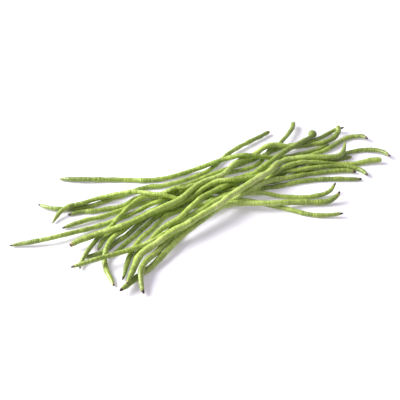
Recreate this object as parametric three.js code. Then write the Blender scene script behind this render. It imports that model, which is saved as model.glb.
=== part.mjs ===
// A bunch of yardlong beans lying loose on a table: eighteen long slender pods, each grown as
// one piece, fanned at both ends and crossing over and under each other in the middle.
// Millimetres, +Z up. The table is z = 0 and the origin is the middle of the bunch's footprint.
import * as THREE from 'three';

// Driving dimensions, mm
const seedSpacing = 26; // from one seed to the next along a pod
const seedSwell = 0.05; // how far a seed swells the pod, as a share of its radius
const sides = 8; // flats round a pod, with one flat facing down
const clearance = 0.7; // air left between two pods that lie against each other
const stationStep = 4; // between the points that carry a pod's middle line
const lineDetail = 40; // steps in which the length of a line is measured between two points
const settleRounds = 400;
const pressReach = 10; // how far past contact two stations still count as neighbours
const keptPush = 0.5; // share of a push that stays where it was made; its neighbours take the rest

// How a pod ends: pairs of the distance from its tip and the share of its full radius there
const endShapes = {
  beak: [[0, 0.26], [2, 0.42], [7, 0.7], [15, 0.92], [26, 1]],
  taper: [[0, 0.28], [4, 0.46], [12, 0.64], [23, 0.87], [36, 1]],
  neck: [[0, 0.42], [3, 0.58], [8, 0.76], [15, 0.92], [24, 1]],
  stub: [[0, 0.6], [1.5, 0.8], [4, 0.92], [8, 0.98], [12, 1]],
  snapped: [[0, 0.66], [2, 0.8], [6, 0.9], [12, 0.96], [18, 1]],
  club: [[0, 0.84], [2, 1.06], [6, 1.2], [18, 1.2], [34, 1.1], [50, 1]],
  knob: [[0, 1.05], [2, 1.5], [5.5, 1.78], [9.5, 1.5], [13.5, 1.08], [18, 0.96], [26, 1]],
};
const capShare = 0.5; // how far the last point stands out, as a share of the last radius

const podGreens = ['#8ca83e', '#7f9d36', '#96b148', '#86a33a'];
const podRoughness = 0.5;

// Each pod's widest diameter, its west and east ends, and the route of its middle line.
// [x, y] is a point where the pod lies on the table, [x, y, z] one where it is carried z up.
const pods = [
  {
    name: 'pod_01', girth: 8.2, ends: ['neck', 'beak'],
    route: [[-233, 50], [-192, 46, 6], [-141, 48], [-72, 48], [-8, 72, 6], [40, 86, 16], [73, 91, 20],
      [107, 96, 13], [141, 106, 5], [199, 129], [227, 147]],
  },
  {
    name: 'pod_02', girth: 7.6, ends: ['beak', 'beak'],
    route: [[-230, -60], [-226, -50, 5], [-213, -33, 9.5], [-184, -21, 10], [-169, -11, 8.5],
      [-117, -2, 16], [-99, -3, 17], [-67, -11, 17], [-53, -12, 14.5], [-37, -17, 10], [-25, -9, 6],
      [-16, -7], [0, -4], [49, -4], [62, -6], [80, -7], [132, -23], [163, -36], [190, -42],
      [225, -42, 8]],
  },
  {
    name: 'pod_03', girth: 7.8, ends: ['neck', 'stub'],
    route: [[-258, -16], [-245, -24, 6], [-232, -28, 6.5], [-196, -26], [-162, -13], [-141, 1],
      [-119, 10], [-110, 17], [-86, 29], [-66, 31], [8, 68], [52, 120, 7], [124, 183, 6]],
  },
  {
    name: 'pod_04', girth: 8, ends: ['beak', 'neck'],
    route: [[-208, -41], [-188, -34], [-168, -33], [-137, -27], [-122, -24], [-112, -17], [-107, -7],
      [-86, 2], [-65, 2], [-48, 10], [-16, 18], [16, 20], [49, 17], [115, 28], [189, 48], [269, 50]],
  },
  {
    name: 'pod_05', girth: 8, ends: ['beak', 'beak'],
    route: [[-213, -72], [-184, -58, 6], [-156, -46, 5], [-99, -13], [-64, -5], [-48, 0.5],
      [-34, 7, 8], [-22, 16, 12], [-8, 25, 10], [10, 32, 4.5], [30, 38], [104, 73], [137, 94],
      [211, 126], [233, 141, 5], [265, 169], [288, 169, 7], [297, 158, 9]],
  },
  {
    name: 'pod_06', girth: 7.4, ends: ['beak', 'beak'],
    route: [[-287, -111], [-239, -105, 9], [-213, -97, 10], [-153, -65], [-111, -42], [-80, -24, 7],
      [-58, -15, 9], [-41, 1, 9], [-17, 27], [26, 63], [99, 107], [148, 142], [199, 163], [223, 178],
      [244, 189, 7], [259, 191, 10]],
  },
  {
    name: 'pod_07', girth: 9.4, ends: ['snapped', 'stub'],
    route: [[-193, -119, 12], [-180, -110, 12.5], [-151, -96, 13.5], [-121, -86, 15.5],
      [-106, -76, 16.3], [-92, -68, 17], [-77, -55, 18], [-47, -36, 20], [-31, -25, 20.5],
      [8, 23, 18], [34, 40, 16], [63, 83, 12.5], [99, 108, 11], [109, 118, 11.5], [127, 126, 12],
      [151, 129, 9], [176, 141, 4.5], [205, 149, 4.5], [219, 152, 5], [240, 165, 8.5],
      [247, 176, 12], [247, 185, 17]],
  },
  {
    name: 'pod_08', girth: 7.4, ends: ['neck', 'club'],
    route: [[-175, -160, 5], [-175, -151, 5], [-166, -131, 11], [-152, -92], [-137, -76, 7],
      [-125, -55, 9.5], [-103, -22, 10], [-91, -12, 8.5], [-79, -9, 8], [-53, -9, 12.5],
      [-39, -2, 17], [-18, 2, 15.5], [8, 30, 8], [38, 59], [98, 87], [123, 128, 5], [136, 137, 7],
      [166, 191, 8], [170, 209, 8]],
  },
  {
    name: 'pod_09', girth: 8.2, ends: ['neck', 'beak'],
    route: [[-123, -193], [-140, -149, 5], [-137, -120, 11], [-129, -100, 10], [-101, -67, 5],
      [-78, -52, 10], [-63, -39, 11], [-47, -32, 11.5], [-16, -10, 15], [-6, -4, 17.5], [0, 2, 18],
      [21, 16, 18.5], [33, 19, 18.5], [49, 19, 18.5], [88, 36, 15], [111, 53, 12], [154, 60, 13],
      [238, 81, 6], [270, 76], [280, 56, 7]],
  },
  {
    name: 'pod_10', girth: 7.6, ends: ['beak', 'beak'],
    route: [[-186, -168, 14.5], [-147, -154, 18], [-93, -124, 12], [-75, -112, 12], [-34, -66, 7.5],
      [-7, -48, 9], [9, -39, 12], [22, -26, 13.5], [51, -6, 11], [99, 7, 9], [132, 5], [176, 3],
      [210, 12, 8], [221, 24, 16]],
  },
  {
    name: 'pod_11', girth: 8.6, ends: ['neck', 'knob'],
    route: [[-98, -147], [-94, -130], [-75, -106, 4.5], [-59, -86, 7], [-45, -78, 11], [-30, -67, 14],
      [-22, -55, 16], [1, -26, 22], [7, -18, 22], [14, -15, 20], [21, -5, 20], [32, 3, 19],
      [62, 31, 12.5], [81, 46, 11], [97, 59, 14], [107, 69, 16], [116, 75, 18], [144, 107, 17],
      [198, 162, 9], [202, 176, 9]],
  },
  {
    name: 'pod_12', girth: 8.2, ends: ['taper', 'club'],
    route: [[-111, -182], [-103, -132], [-92, -99], [-75, -72], [-54, -35], [-41, -27], [-30, -19],
      [-1, -7], [24, -2, 9.5], [53, 8, 11], [81, 11, 8], [99, 23, 11], [127, 53, 19], [168, 76, 18],
      [238, 89], [268, 92], [294, 98, 6], [309, 97, 8]],
  },
  {
    name: 'pod_13', girth: 7.4, ends: ['neck', 'stub'],
    route: [[-134, -137], [-103, -93], [-64, -38], [-32, -17], [-16, -8], [0, -10, 5], [13, -3, 9.5],
      [24, 6, 11], [61, 13, 11], [82, 25, 8], [123, 42], [184, 75], [227, 101], [261, 112]],
  },
  {
    name: 'pod_14', girth: 10.4, ends: ['taper', 'taper'],
    route: [[-103, -201, 15], [-90, -165, 15], [-85, -148, 16], [-58, -121, 18.5], [-44, -105, 20.5],
      [-15, -83, 23.7], [0, -69, 25.5], [31, -45, 29], [43, -31, 29.3], [64, -12, 29], [99, 22, 25],
      [116, 37, 22.5], [147, 80, 15], [186, 92, 15], [233, 99, 12], [246, 113, 12], [250, 124, 15],
      [251, 131, 20]],
  },
  {
    name: 'pod_15', girth: 9.6, ends: ['beak', 'beak'],
    route: [[-112, -212, 12], [-82, -169, 6.5], [-72, -159, 7], [-30, -100, 12], [15, -55, 17],
      [30, -40, 18], [52, -25, 13.5], [67, -23, 12], [100, -25, 12.4], [132, -22, 9],
      [149, -17, 6.5], [168, -14, 5], [205, -11, 6], [222, -3, 14], [224, 1, 17]],
  },
  {
    name: 'pod_16', girth: 8.8, ends: ['beak', 'neck'],
    route: [[-79, -212, 7], [-84, -198, 9.5], [-87, -171, 15.5], [-82, -155, 15.5], [-70, -140, 15],
      [-47, -103, 13], [-18, -54, 6.5], [15, -25, 7], [32, -16, 10], [63, -6, 19], [97, 22, 16.5],
      [132, 42, 11], [149, 49, 8], [188, 66, 4.5], [248, 73, 4.5], [262, 68, 4.5]],
  },
  {
    name: 'pod_17', girth: 7.6, ends: ['beak', 'beak'],
    route: [[-153, -120], [-144, -92], [-64, -23], [-32, 4], [-12, 11, 10], [13, 22, 11], [33, 28, 5],
      [57, 36], [87, 55], [142, 71], [174, 78], [212, 101], [284, 131], [315, 123, 7], [327, 106, 9]],
  },
  {
    name: 'pod_18', girth: 7.4, ends: ['neck', 'neck'],
    route: [[-172, -137], [-145, -124], [-125, -100], [-114, -88], [-91, -55], [-63, -32], [-49, -17],
      [-32, -5], [0, 5, 5], [33, 14, 11], [56, 19], [94, 37], [127, 52], [163, 76, 11], [179, 89, 6],
      [190, 99, 5], [217, 112]],
  },
];

// Height of a pod's middle line where it lies on the table, with its flats pressed to it
function restingHeight(radius) {
  return radius * (1 - seedSwell) * Math.cos(Math.PI / sides);
}

function smoothLine(points) {
  const line = new THREE.CatmullRomCurve3(points, false, 'centripetal');
  line.arcLengthDivisions = points.length * lineDetail;
  return line;
}

// The share of the full radius that an end leaves at a distance from its tip
function shareAt(end, distance) {
  const shape = endShapes[end];
  for (let k = 0; k + 1 < shape.length; k++) {
    const [[from, fromShare], [to, toShare]] = [shape[k], shape[k + 1]];
    if (distance < to) return THREE.MathUtils.mapLinear(distance, from, to, fromShare, toShare);
  }
  return 1;
}

// A pod as a supple rod: points along its route, before the others press on it
function makeRod(pod) {
  const radius = pod.girth / 2;
  const floor = restingHeight(radius);
  const line = smoothLine(pod.route.map(([x, y, z = floor]) => new THREE.Vector3(x, y, z)));
  const length = line.getLength();
  const steps = Math.round(length / stationStep);
  const points = line.getSpacedPoints(steps);
  const widths = points.map((point, k) => {
    const at = (length * k) / steps;
    return radius * shareAt(pod.ends[0], at) * shareAt(pod.ends[1], length - at);
  });
  return { ...pod, radius, floor, points, widths };
}

// Every point of one rod with every span of another that it could touch
function nearPairs(rods) {
  const pairs = [];
  for (const rod of rods) {
    for (const other of rods) {
      if (rod === other) continue;
      const reach = rod.radius + other.radius + pressReach;
      rod.points.forEach((point, k) => {
        for (let m = 0; m + 1 < other.points.length; m++) {
          if (point.distanceTo(other.points[m]) < reach) pairs.push([rod, k, other, m]);
        }
      });
    }
  }
  return pairs;
}

const span = new THREE.Line3();
const nearest = new THREE.Vector3();
const away = new THREE.Vector3();

// Moves a point and a span apart, half each, where they are closer than the two girths allow
function pressApart([rod, k, other, m]) {
  span.set(other.points[m], other.points[m + 1]);
  const share = span.closestPointToPointParameter(rod.points[k], true);
  span.at(share, nearest);
  away.subVectors(rod.points[k], nearest);
  const lack = rod.widths[k] + other.widths[m] + clearance - away.length();
  if (lack <= 0) return;
  away.setLength(lack / 2);
  rod.points[k].add(away);
  other.points[m].addScaledVector(away, share - 1);
  other.points[m + 1].addScaledVector(away, -share);
}

// Spreads what the presses have moved along the rod, so it bends in long curves
function spreadPush(rod, route) {
  const pushed = rod.points.map((point, k) => point.clone().sub(route[k]));
  const passedOn = (1 - keptPush) / 2;
  for (let k = 1; k + 1 < pushed.length; k++) {
    rod.points[k].copy(route[k]);
    rod.points[k].addScaledVector(pushed[k - 1], passedOn);
    rod.points[k].addScaledVector(pushed[k], keptPush);
    rod.points[k].addScaledVector(pushed[k + 1], passedOn);
  }
}

// Presses the rods apart, a little at a time, until all lie clear of each other and the table
function settle(rods) {
  const routes = rods.map((rod) => rod.points.map((point) => point.clone()));
  const pairs = nearPairs(rods);
  for (let round = 0; round < settleRounds; round++) {
    pairs.forEach(pressApart);
    rods.forEach((rod, i) => spreadPush(rod, routes[i]));
    for (const rod of rods) {
      for (const point of rod.points) point.z = Math.max(point.z, rod.floor);
    }
  }
  pairs.forEach(pressApart);
}

// Where the rings sit along a pod and their shares of its radius: as the ends are shaped, and
// between them on the seeds and in the waists between seeds
function ringPlaces(rod, length) {
  const [west, east] = rod.ends.map((end) => endShapes[end].slice(0, -1));
  const [first, last] = rod.ends.map((end) => endShapes[end].at(-1)[0]);
  const body = length - first - last;
  const halfSeeds = 2 * Math.round(body / seedSpacing);
  const places = west.map(([distance, share]) => ({ at: distance, share }));
  for (let k = 0; k <= halfSeeds; k++) {
    places.push({ at: first + (body * k) / halfSeeds, share: 1 + (k % 2 ? seedSwell : -seedSwell) });
  }
  for (const [distance, share] of east.reverse()) places.push({ at: length - distance, share });
  return places;
}

// The pod's skin: a closed tube of rings along the middle line, with a point at each end
function podGeometry(rod) {
  const line = smoothLine(rod.points);
  const length = line.getLength();
  const rings = ringPlaces(rod, length);
  const vertices = [];
  const faces = [];
  const addVertex = (point) => vertices.push(point.x, point.y, Math.max(point.z, 0));
  const tangentAt = (at) => line.getTangentAt(Math.min(Math.max(at / length, 0), 1));
  const capPoint = ({ at, share }, direction) => {
    const point = line.getPointAt(at / length);
    return point.addScaledVector(tangentAt(at), direction * capShare * rod.radius * share);
  };

  addVertex(capPoint(rings[0], -1));
  for (const { at, share } of rings) {
    const centre = line.getPointAt(at / length);
    const along = tangentAt(at);
    const across = new THREE.Vector3().crossVectors(along, new THREE.Vector3(0, 0, 1)).normalize();
    const upward = new THREE.Vector3().crossVectors(across, along);
    const radius = rod.radius * share;
    for (let side = 0; side < sides; side++) {
      const angle = ((side + 0.5) / sides) * 2 * Math.PI;
      const corner = centre.clone();
      corner.addScaledVector(across, radius * Math.sin(angle));
      corner.addScaledVector(upward, -radius * Math.cos(angle));
      addVertex(corner);
    }
  }
  addVertex(capPoint(rings.at(-1), 1));

  const corner = (ring, side) => 1 + ring * sides + (side % sides);
  const lastPoint = vertices.length / 3 - 1;
  for (let side = 0; side < sides; side++) {
    faces.push(0, corner(0, side), corner(0, side + 1));
    faces.push(lastPoint, corner(rings.length - 1, side + 1), corner(rings.length - 1, side));
    for (let ring = 0; ring + 1 < rings.length; ring++) {
      const [a, b] = [corner(ring, side), corner(ring, side + 1)];
      const [c, d] = [corner(ring + 1, side), corner(ring + 1, side + 1)];
      faces.push(a, d, b, a, c, d);
    }
  }

  const geometry = new THREE.BufferGeometry();
  geometry.setAttribute('position', new THREE.Float32BufferAttribute(vertices, 3));
  geometry.setIndex(faces);
  geometry.computeVertexNormals();
  return geometry;
}

function podMesh(rod, i) {
  const material = new THREE.MeshStandardMaterial({
    color: podGreens[i % podGreens.length],
    roughness: podRoughness,
    metalness: 0,
  });
  const mesh = new THREE.Mesh(podGeometry(rod), material);
  mesh.name = rod.name;
  return mesh;
}

const rods = pods.map(makeRod);
settle(rods);

const bunch = new THREE.Group();
rods.forEach((rod, i) => bunch.add(podMesh(rod, i)));

const middle = new THREE.Box3().setFromObject(bunch, true).getCenter(new THREE.Vector3());
bunch.position.set(-middle.x, -middle.y, 0);

export default bunch;
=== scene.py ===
import math
from bisect import bisect_right

import bmesh
import bpy
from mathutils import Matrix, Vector, noise


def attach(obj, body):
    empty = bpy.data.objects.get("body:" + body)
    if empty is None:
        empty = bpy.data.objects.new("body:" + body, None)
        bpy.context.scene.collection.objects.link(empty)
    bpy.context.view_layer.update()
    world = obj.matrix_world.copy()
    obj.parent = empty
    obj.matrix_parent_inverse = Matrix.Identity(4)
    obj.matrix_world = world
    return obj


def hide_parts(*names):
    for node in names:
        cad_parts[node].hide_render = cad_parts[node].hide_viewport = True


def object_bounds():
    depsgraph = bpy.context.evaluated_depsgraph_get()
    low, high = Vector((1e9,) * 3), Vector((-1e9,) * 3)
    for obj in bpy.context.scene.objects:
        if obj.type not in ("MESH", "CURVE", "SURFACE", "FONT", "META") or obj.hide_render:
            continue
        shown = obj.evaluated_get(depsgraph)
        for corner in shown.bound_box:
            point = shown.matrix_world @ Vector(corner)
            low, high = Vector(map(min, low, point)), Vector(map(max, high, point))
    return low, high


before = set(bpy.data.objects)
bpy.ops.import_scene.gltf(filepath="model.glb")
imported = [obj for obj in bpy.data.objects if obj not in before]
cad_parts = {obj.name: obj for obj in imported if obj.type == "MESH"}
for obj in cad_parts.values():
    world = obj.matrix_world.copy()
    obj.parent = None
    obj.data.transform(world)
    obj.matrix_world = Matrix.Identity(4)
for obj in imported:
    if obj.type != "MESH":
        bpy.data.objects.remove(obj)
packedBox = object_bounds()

mm = 0.001


def linearColour(hexColour):
    # sRGB hex to the linear values that the shaders work in
    channels = [int(hexColour[k:k + 2], 16) / 255 for k in (1, 3, 5)]
    linear = [c / 12.92 if c <= 0.04045 else ((c + 0.055) / 1.055) ** 2.4 for c in channels]
    return (*linear, 1.0)


def addNode(tree, kind, settings=None, links=None):
    # a key is an input's name or number, or a property of the node
    node = tree.nodes.new(kind)
    for key, value in (settings or {}).items():
        if isinstance(key, int) or key in node.inputs:
            node.inputs[key].default_value = value
        else:
            setattr(node, key, value)
    for key, socket in (links or {}).items():
        tree.links.new(socket, node.inputs[key])
    return node


def newMaterial(name):
    material = bpy.data.materials.new(name)
    material.use_nodes = True
    material.node_tree.nodes.clear()
    return material, material.node_tree


# Camera: looks down on the bunch from the front
cameraView = {
    "target": (-20.16 * mm, 1.1 * mm, 0),
    "lookDown": 40.0,   # degrees
    "distance": 1.25,   # metres
    "lens": 69.44,      # mm
    "sensor": 36,       # mm
    "nearest": 0.05,    # metres
}


def makeCamera():
    view = cameraView
    lookDown = math.radians(view["lookDown"])
    target = Vector(view["target"])
    data = bpy.data.cameras.new("camera")
    data.lens = view["lens"]
    data.sensor_width = view["sensor"]
    data.clip_start = view["nearest"]
    camera = bpy.data.objects.new("camera", data)
    bpy.context.scene.collection.objects.link(camera)
    camera.location = target + view["distance"] * Vector((0, -math.cos(lookDown), math.sin(lookDown)))
    camera.rotation_euler = (math.radians(90) - lookDown, 0, 0)
    bpy.context.scene.camera = camera


makeCamera()
print("camera set")


# Light: one soft box low on the left, and an even white room
studioLight = {
    "boxFrom": (-1.0, 0.12, 0.72),  # direction the soft box stands in
    "boxDistance": 3.0,             # metres
    "boxSize": 1.9,                 # metres
    "boxPower": 222,                # watts
    "room": "#efe9fb",
    "roomStrength": 0.62,
}


def makeLight():
    light = studioLight
    data = bpy.data.lights.new("softBox", "AREA")
    data.shape = "SQUARE"
    data.size = light["boxSize"]
    data.energy = light["boxPower"]
    box = bpy.data.objects.new("softBox", data)
    bpy.context.scene.collection.objects.link(box)
    direction = Vector(light["boxFrom"]).normalized()
    box.location = direction * light["boxDistance"]
    box.rotation_euler = direction.to_track_quat("Z", "Y").to_euler()

    world = bpy.data.worlds.new("room")
    bpy.context.scene.world = world
    world.use_nodes = True
    tree = world.node_tree
    tree.nodes.clear()
    room = addNode(tree, "ShaderNodeBackground",
                   {"Color": linearColour(light["room"]), "Strength": light["roomStrength"]})
    addNode(tree, "ShaderNodeOutputWorld", links={"Surface": room.outputs["Background"]})
    bpy.context.scene.view_settings.view_transform = "Standard"


makeLight()
print("lights set")


# Floor: matt white sheet with a faint glow of its own; the glow is painted light, not a lamp, and keeps the
# soft shadows pale
floorSheet = {
    "size": 12.0,           # metres
    "colour": "#d6d5d9",
    "roughness": 0.9,
    "specular": 0.2,        # sanded, so it hardly shines
    # painted light: the floor's own glow lifts and tints the shadows on it
    "paintedFloorGlow": "#f6eff6",
    "paintedFloorGlowStrength": 0.24,
}


def makeFloor():
    sheet = floorSheet
    material, tree = newMaterial("mattWhiteAcrylic")
    acrylic = addNode(tree, "ShaderNodeBsdfPrincipled", {
        "Base Color": linearColour(sheet["colour"]),
        "Roughness": sheet["roughness"],
        "Specular IOR Level": sheet["specular"],
        # the emission is painted light that keeps the floor's shadows pale
        "Emission Color": linearColour(sheet["paintedFloorGlow"]),
        "Emission Strength": sheet["paintedFloorGlowStrength"],
    })
    addNode(tree, "ShaderNodeOutputMaterial", links={"Surface": acrylic.outputs["BSDF"]})
    mesh = bpy.data.meshes.new("floor")
    half = sheet["size"] / 2
    corners = [(-half, -half, 0), (half, -half, 0), (half, half, 0), (-half, half, 0)]
    mesh.from_pydata(corners, [], [(0, 1, 2, 3)])
    mesh.materials.append(material)
    floor = bpy.data.objects.new("floor", mesh)
    bpy.context.scene.collection.objects.link(floor)


makeFloor()
print("floor laid")


# Bean pod skin: a living plant skin, waxy and finely wrinkled across, so it shines softly
# and breaks the light into fine cross lines. It dries brown and dull at the ends.
podSkin = {
    "deepGreen": "#637b22",
    "freshGreen": "#9ab045",
    "paleGreen": "#b9ca72",
    "ripeYellow": "#cfd2ac",
    "driedBrown": "#2e2114",
    "cutTan": "#96864f",
    "neckOlive": "#86874a",
    "greenStops": (("deepGreen", 0.12), ("freshGreen", 0.45), ("paleGreen", 0.74), ("ripeYellow", 0.94)),
    "greenRange": (0.88, 2.18),  # shift that gives the first and the last of the greens
    "patchShift": 0.9,           # how far each pattern shifts the green towards pale
    "mottleShift": 0.35,
    # painted shade and highlight: the wrinkle colour shift pales the ridges and deepens the hollows
    "wrinkleShadeAndHighlight": 1.0,
    "seamShift": -0.18,
    "neckShare": 0.22,           # how far the ends turn olive
    "raggedness": 0.5,           # how far mottling eats into the dried and cut ends
    "driedEdge": (0.6, 0.95),    # where the brown starts and where it is full
    "cutEdge": (0.6, 1.1),
    "ior": 1.46,                 # wax over a watery skin
    "roughness": 0.42,
    "driedRoughness": 0.8,
    "bloom": 0.5,                # share of clear wax on top
    "bloomRoughness": 0.28,
    "patchSize": 40,             # mm, broad lighter and darker patches
    "mottleSize": 5,             # mm, fine mottling
    "wrinkleSpacing": 2.0,       # mm along the pod
    "wrinkleReach": 9,           # mm that one wrinkle runs round the pod
    "wrinkleHeight": 1.3,        # mm
    "poreSize": 0.7,             # mm, coarser than real pores so that they show
    "poreHeight": 0.03,          # mm
}


def makePodSkin():
    skin = podSkin
    material, tree = newMaterial("waxyBeanPodSkin")
    place = addNode(tree, "ShaderNodeTexCoord").outputs["Object"]
    layers = {}
    for layer in ("alongPod", "ripeness", "driedTip", "cutEnd", "seam", "neck"):
        layers[layer] = addNode(tree, "ShaderNodeAttribute", {"attribute_name": layer}).outputs["Fac"]

    patches = addNode(tree, "ShaderNodeTexNoise",
                      {"Scale": 1000 / skin["patchSize"], "Detail": 2.0, "Roughness": 0.5},
                      {"Vector": place}).outputs["Fac"]
    mottle = addNode(tree, "ShaderNodeTexNoise",
                     {"Scale": 1000 / skin["mottleSize"], "Detail": 3.0, "Roughness": 0.6},
                     {"Vector": place}).outputs["Fac"]

    # wrinkles: noise squeezed along the pod and stretched round it
    parts = addNode(tree, "ShaderNodeSeparateXYZ", links={"Vector": place})
    squeezed = addNode(tree, "ShaderNodeMath", {"operation": "MULTIPLY", 1: 1 / skin["wrinkleSpacing"]},
                       {0: layers["alongPod"]}).outputs["Value"]
    stretched = {}
    for axis in ("X", "Z"):
        stretched[axis] = addNode(tree, "ShaderNodeMath",
                                  {"operation": "MULTIPLY", 1: 1000 / skin["wrinkleReach"]},
                                  {0: parts.outputs[axis]}).outputs["Value"]
    wrinklePlace = addNode(tree, "ShaderNodeCombineXYZ",
                           links={"X": squeezed, "Y": stretched["X"], "Z": stretched["Z"]})
    wrinkles = addNode(tree, "ShaderNodeTexNoise", {"Scale": 1.0, "Detail": 2.0, "Roughness": 0.55},
                       {"Vector": wrinklePlace.outputs["Vector"]}).outputs["Fac"]
    pores = addNode(tree, "ShaderNodeTexNoise",
                    {"Scale": 1000 / skin["poreSize"], "Detail": 1.0}, {"Vector": place}).outputs["Fac"]

    # green runs from deep to pale with ripeness, patches, mottling and wrinkles; the wrinkle share is
    # painted shade in the wrinkle hollows and painted highlight on their ridges
    shift = layers["ripeness"]
    for pattern, name in ((patches, "patchShift"), (mottle, "mottleShift"),
                          (wrinkles, "wrinkleShadeAndHighlight"), (layers["seam"], "seamShift")):
        shift = addNode(tree, "ShaderNodeMath", {"operation": "MULTIPLY_ADD", 1: skin[name]},
                        {0: pattern, 2: shift}).outputs["Value"]
    first, last = skin["greenRange"]
    shade = addNode(tree, "ShaderNodeMapRange", {"From Min": first, "From Max": last},
                    {"Value": shift}).outputs["Result"]
    greens = addNode(tree, "ShaderNodeValToRGB", links={"Fac": shade})
    ramp = greens.color_ramp
    stops = skin["greenStops"]
    ramp.elements[0].position, ramp.elements[1].position = stops[0][1], stops[-1][1]
    for _, position in stops[1:-1]:
        ramp.elements.new(position)
    for element, (name, _) in zip(ramp.elements, stops):
        element.color = linearColour(skin[name])

    # a colour mix has its two colours at inputs 6 and 7, and its result at output 2
    neckMask = addNode(tree, "ShaderNodeMath", {"operation": "MULTIPLY", 1: skin["neckShare"]},
                       {0: layers["neck"]}).outputs["Value"]
    withNeck = addNode(tree, "ShaderNodeMix", {"data_type": "RGBA", 7: linearColour(skin["neckOlive"])},
                       {"Factor": neckMask, 6: greens.outputs["Color"]})

    # dried and cut ends eat into the green with a ragged edge
    masks = {}
    for layer, edge in (("driedTip", skin["driedEdge"]), ("cutEnd", skin["cutEdge"])):
        ragged = addNode(tree, "ShaderNodeMath", {"operation": "MULTIPLY_ADD", 1: skin["raggedness"]},
                         {0: mottle, 2: layers[layer]}).outputs["Value"]
        masks[layer] = addNode(tree, "ShaderNodeMapRange", {"From Min": edge[0], "From Max": edge[1]},
                               {"Value": ragged}).outputs["Result"]
    withCut = addNode(tree, "ShaderNodeMix", {"data_type": "RGBA", 7: linearColour(skin["cutTan"])},
                      {"Factor": masks["cutEnd"], 6: withNeck.outputs[2]})
    withDry = addNode(tree, "ShaderNodeMix", {"data_type": "RGBA", 7: linearColour(skin["driedBrown"])},
                      {"Factor": masks["driedTip"], 6: withCut.outputs[2]})

    roughness = addNode(tree, "ShaderNodeMapRange",
                        {"To Min": skin["roughness"], "To Max": skin["driedRoughness"]},
                        {"Value": masks["driedTip"]}).outputs["Result"]
    wrinkleBump = addNode(tree, "ShaderNodeBump", {"Distance": skin["wrinkleHeight"] * mm},
                          {"Height": wrinkles})
    poreBump = addNode(tree, "ShaderNodeBump", {"Distance": skin["poreHeight"] * mm},
                       {"Height": pores, "Normal": wrinkleBump.outputs["Normal"]})
    surface = addNode(tree, "ShaderNodeBsdfPrincipled", {
        "IOR": skin["ior"],
        "Coat Weight": skin["bloom"],
        "Coat Roughness": skin["bloomRoughness"],
    }, {
        "Base Color": withDry.outputs[2],
        "Roughness": roughness,
        "Normal": poreBump.outputs["Normal"],
    })
    addNode(tree, "ShaderNodeOutputMaterial", links={"Surface": surface.outputs["BSDF"]})
    return material


# How a pod ends: mm of brown dried tip, and mm of tan where the stalk was
endLooks = {
    "driedBeak": {"dried": 7, "cut": 7.5},
    "paleBeak": {"dried": 1.5, "cut": 4},
    "stalkEnd": {"dried": 2, "cut": 5},
    "brownEnd": {"dried": 7, "cut": 10},
    "tanEnd": {"dried": 2.5, "cut": 8},
    "greenEnd": {"dried": 0, "cut": 1.5},
}

# Ripeness is at the west and the east end: 0 is deep green, 1 is pale and yellowing
podLooks = {
    "pod_01": {"west": "paleBeak", "east": "driedBeak", "ripeness": (0.22, 0.24)},
    "pod_02": {"west": "paleBeak", "east": "brownEnd", "ripeness": (0.30, 0.32)},
    "pod_03": {"west": "driedBeak", "east": "stalkEnd", "ripeness": (0.30, 0.24)},
    "pod_04": {"west": "driedBeak", "east": "driedBeak", "ripeness": (0.20, 0.24)},
    "pod_05": {"west": "driedBeak", "east": "brownEnd", "ripeness": (0.34, 0.36)},
    "pod_06": {"west": "driedBeak", "east": "driedBeak", "ripeness": (0.26, 0.26)},
    "pod_07": {"west": "tanEnd", "east": "greenEnd", "ripeness": (0.52, 0.36)},
    "pod_08": {"west": "stalkEnd", "east": "greenEnd", "ripeness": (0.30, 0.22)},
    "pod_09": {"west": "stalkEnd", "east": "driedBeak", "ripeness": (0.46, 0.28)},
    "pod_10": {"west": "driedBeak", "east": "driedBeak", "ripeness": (0.44, 0.40)},
    "pod_11": {"west": "stalkEnd", "east": "greenEnd", "ripeness": (0.34, 0.24)},
    "pod_12": {"west": "driedBeak", "east": "greenEnd", "ripeness": (0.30, 0.38)},
    "pod_13": {"west": "stalkEnd", "east": "stalkEnd", "ripeness": (0.24, 0.22)},
    "pod_14": {"west": "paleBeak", "east": "greenEnd", "ripeness": (0.54, 0.46)},
    "pod_15": {"west": "driedBeak", "east": "brownEnd", "ripeness": (0.40, 0.34)},
    "pod_16": {"west": "driedBeak", "east": "brownEnd", "ripeness": (0.44, 0.34)},
    "pod_17": {"west": "paleBeak", "east": "brownEnd", "ripeness": (0.28, 0.22)},
    "pod_18": {"west": "stalkEnd", "east": "driedBeak", "ripeness": (0.28, 0.24)},
}

podForm = {
    "roundPoints": 30,        # points round a pod
    "ringStep": 1.0,          # mm between rings along a pod
    "tipRings": (0.04, 0.16, 0.36, 0.64),  # closer rings, as shares of the rounded tip
    "girthShare": 0.985,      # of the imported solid's corner radius
    "wrinkleHeight": 0.36,    # mm, cross wrinkles that stand in the mesh
    "wrinkleSpacing": 3.0,    # mm
    "wrinkleBreaks": 1.2,     # how soon a wrinkle changes round the pod
    "wrinkleGroups": 38,      # mm, wrinkled stretches between smoother ones
    "groupMean": 0.9,         # share of the wrinkle height
    "groupSwing": 1.5,
    "groupLimits": (0.2, 1.7),
    "lumpHeight": 0.6,        # mm, uneven girth
    "lumpSpacing": 15,        # mm
    "lumpBreaks": 0.6,        # how soon a lump changes round the pod
    "oval": 0.03,             # share of the radius
    "seamDepth": 0.2,         # mm, groove along each of the two seams
    "seamWidth": 0.9,         # mm
    "seamTurns": 1.6,         # turns of the seams per metre
    # the tips are a deeper green, and the middle of each pod is left paler as painted fill light where the
    # pile shades it
    "endGreenAndPaintedFill": 0.29,         # ripeness lost towards each tip
    "endReach": 120,          # mm from the tip
    "endFade": 0.5,           # power, below 1 keeps the colour of an end strong
    "seedStep": 17.0,         # apart in the noise from pod to pod
}


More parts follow.
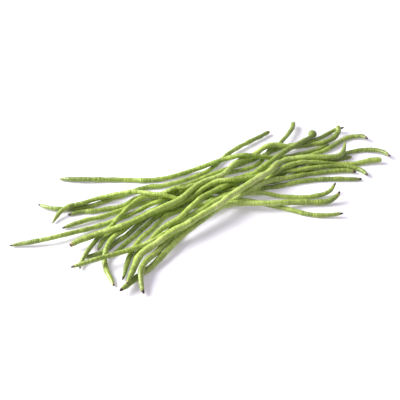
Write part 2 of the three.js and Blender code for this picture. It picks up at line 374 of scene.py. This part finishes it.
def smoothValue(places, values, at):
    # value on the smooth curve through values at places
    k = min(max(bisect_right(places, at) - 1, 0), len(places) - 2)
    span = places[k + 1] - places[k]
    t = (at - places[k]) / span

    def slope(i):
        low, high = max(i - 1, 0), min(i + 1, len(places) - 1)
        return (values[high] - values[low]) / (places[high] - places[low])

    return (values[k] * ((1 + 2 * t) * (1 - t) ** 2)
            + slope(k) * (span * t * (1 - t) ** 2)
            + values[k + 1] * (t * t * (3 - 2 * t))
            + slope(k + 1) * (span * t * t * (t - 1)))


# A packed pod is eight-sided, so only its two tips meet eight edges
packedPod = {
    "sides": 8,
    "mergeWithin": 0.005,   # mm
}


def readPod(name):
    # middle line and radii of a packed pod, ring by ring from its west tip
    solid = bmesh.new()
    solid.from_mesh(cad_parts[name].data)
    bmesh.ops.remove_doubles(solid, verts=solid.verts, dist=packedPod["mergeWithin"] * mm)
    solid.verts.ensure_lookup_table()
    tips = [vert for vert in solid.verts if len(vert.link_edges) == packedPod["sides"]]
    westTip = min(tips, key=lambda vert: vert.co.x)
    level, seen = [westTip], {westTip}
    centres, radii = [], []
    while level:
        centre = sum((vert.co for vert in level), Vector()) / len(level)
        centres.append(centre)
        radii.append(max((vert.co - centre).length for vert in level))
        around = {edge.other_vert(vert) for vert in level for edge in vert.link_edges}
        level = sorted(around - seen, key=lambda vert: vert.index)
        seen.update(level)
    solid.free()
    return centres, radii


def makePod(name, skin):
    form, looks = podForm, podLooks[name]
    centres, radii = readPod(name)
    places = [0.0]
    for before, after in zip(centres, centres[1:]):
        places.append(places[-1] + (after - before).length)
    length = places[-1]
    capWest, capEast = places[1], length - places[-2]
    girths = [radius * form["girthShare"] for radius in radii]
    girths[0], girths[-1] = girths[1], girths[-2]
    seed = form["seedStep"] * int(name[-2:])

    def girthAt(at):
        girth = smoothValue(places, girths, min(max(at, capWest), length - capEast))
        for fromTip, cap in ((at, capWest), (length - at, capEast)):
            if fromTip < cap:
                girth *= math.sqrt(max(1 - (1 - fromTip / cap) ** 2, 0))
        return girth

    # even rings along the pod, and closer ones over the rounded tips
    ringPlaces = [capWest * share for share in form["tipRings"]]
    steps = round((length - capWest - capEast) / (form["ringStep"] * mm))
    ringPlaces += [capWest + (length - capWest - capEast) * k / steps for k in range(steps + 1)]
    ringPlaces += [length - capEast * share for share in reversed(form["tipRings"])]

    count = form["roundPoints"]
    lowest, highest = Vector(packedBox[0]), Vector(packedBox[1])
    verts, alongValues, seamValues = [], [], []

    def addVert(point, at, seamShare):
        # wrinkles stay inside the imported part's box
        inside = [min(max(c, low), high) for c, low, high in zip(point, lowest, highest)]
        verts.append(inside)
        alongValues.append(at / mm)
        seamValues.append(seamShare)

    def wrinkleHeightAt(at):
        group = noise.noise(Vector((at / (form["wrinkleGroups"] * mm), seed, 3)))
        least, most = form["groupLimits"]
        return form["wrinkleHeight"] * min(max(form["groupMean"] + form["groupSwing"] * group, least), most)

    addVert(centres[0], 0, 0)
    sideways = None
    for at in ringPlaces:
        centre = smoothValue(places, centres, at)
        ahead = smoothValue(places, centres, min(at + mm, length))
        behind = smoothValue(places, centres, max(at - mm, 0))
        forward = (ahead - behind).normalized()
        if sideways is None:
            sideways = forward.cross(Vector((0, 0, 1)))
        sideways = (sideways - forward * sideways.dot(forward)).normalized()
        upward = sideways.cross(forward)
        girth = girthAt(at)
        fullness = min(girth / max(girths), 1)
        wrinkleHeight = wrinkleHeightAt(at)
        seamAngle = seed + at * form["seamTurns"] * 2 * math.pi
        for k in range(count):
            angle = 2 * math.pi * k / count
            across, up = math.cos(angle), math.sin(angle)
            outward = sideways * across + upward * up
            turned = angle - seamAngle
            lump = noise.noise(Vector((at / (form["lumpSpacing"] * mm), seed,
                                       form["lumpBreaks"] * across)))
            wrinkle = noise.noise(Vector((at / (form["wrinkleSpacing"] * mm) + seed,
                                          form["wrinkleBreaks"] * across,
                                          form["wrinkleBreaks"] * up)))
            seamOff = abs(math.sin(turned)) * girth / (form["seamWidth"] * mm / 2)
            seamShare = math.exp(-seamOff ** 2)
            radius = girth * (1 + form["oval"] * math.cos(2 * turned))
            radius += fullness * mm * (form["lumpHeight"] * lump + wrinkleHeight * wrinkle
                                       - form["seamDepth"] * seamShare)
            addVert(centre + outward * radius, at, seamShare)
    addVert(centres[-1], length, 0)

    faces = []
    rings = len(ringPlaces)
    last = len(verts) - 1
    for k in range(count):
        after = (k + 1) % count
        faces.append((0, 1 + after, 1 + k))
        faces.append((last, last - count + k, last - count + after))
        for ring in range(rings - 1):
            a, b = 1 + ring * count + k, 1 + ring * count + after
            faces.append((a, b, b + count, a + count))

    mesh = bpy.data.meshes.new(name.replace("_", "") + "Skin")
    mesh.from_pydata(verts, [], faces)
    mesh.materials.append(skin)
    mesh.polygons.foreach_set("use_smooth", [True] * len(mesh.polygons))

    def endShare(kind):
        # 1 at a tip and 0 where its brown or tan ends
        west, east = endLooks[looks["west"]][kind], endLooks[looks["east"]][kind]
        values = []
        for at in alongValues:
            fromEast = length / mm - at
            share = max((1 - at / west) if west else 0, (1 - fromEast / east) if east else 0, 0)
            values.append(share ** form["endFade"])
        return values

    def neckAt(at):
        fromTip = min(at, length / mm - at)
        return max(1 - fromTip / form["endReach"], 0)

    # ripeness falls towards the tips: deeper green tips, and a paler middle that is painted fill light in
    # the shaded pile
    def ripenessAt(at):
        west, east = looks["ripeness"]
        along = west + (east - west) * at * mm / length
        return along - form["endGreenAndPaintedFill"] * neckAt(at)

    layers = {
        "alongPod": alongValues,
        "seam": seamValues,
        "driedTip": endShare("dried"),
        "cutEnd": endShare("cut"),
        "neck": [neckAt(at) for at in alongValues],
        "ripeness": [ripenessAt(at) for at in alongValues],
    }
    for layer, values in layers.items():
        mesh.attributes.new(layer, "FLOAT", "POINT").data.foreach_set("value", values)
    mesh.update()

    pod = bpy.data.objects.new(name + "_skin", mesh)
    bpy.context.scene.collection.objects.link(pod)
    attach(pod, "root")
    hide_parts(name)


skin = makePodSkin()
print("skin material made")
for podName in podLooks:
    makePod(podName, skin)
print(len(podLooks), "pods swept")
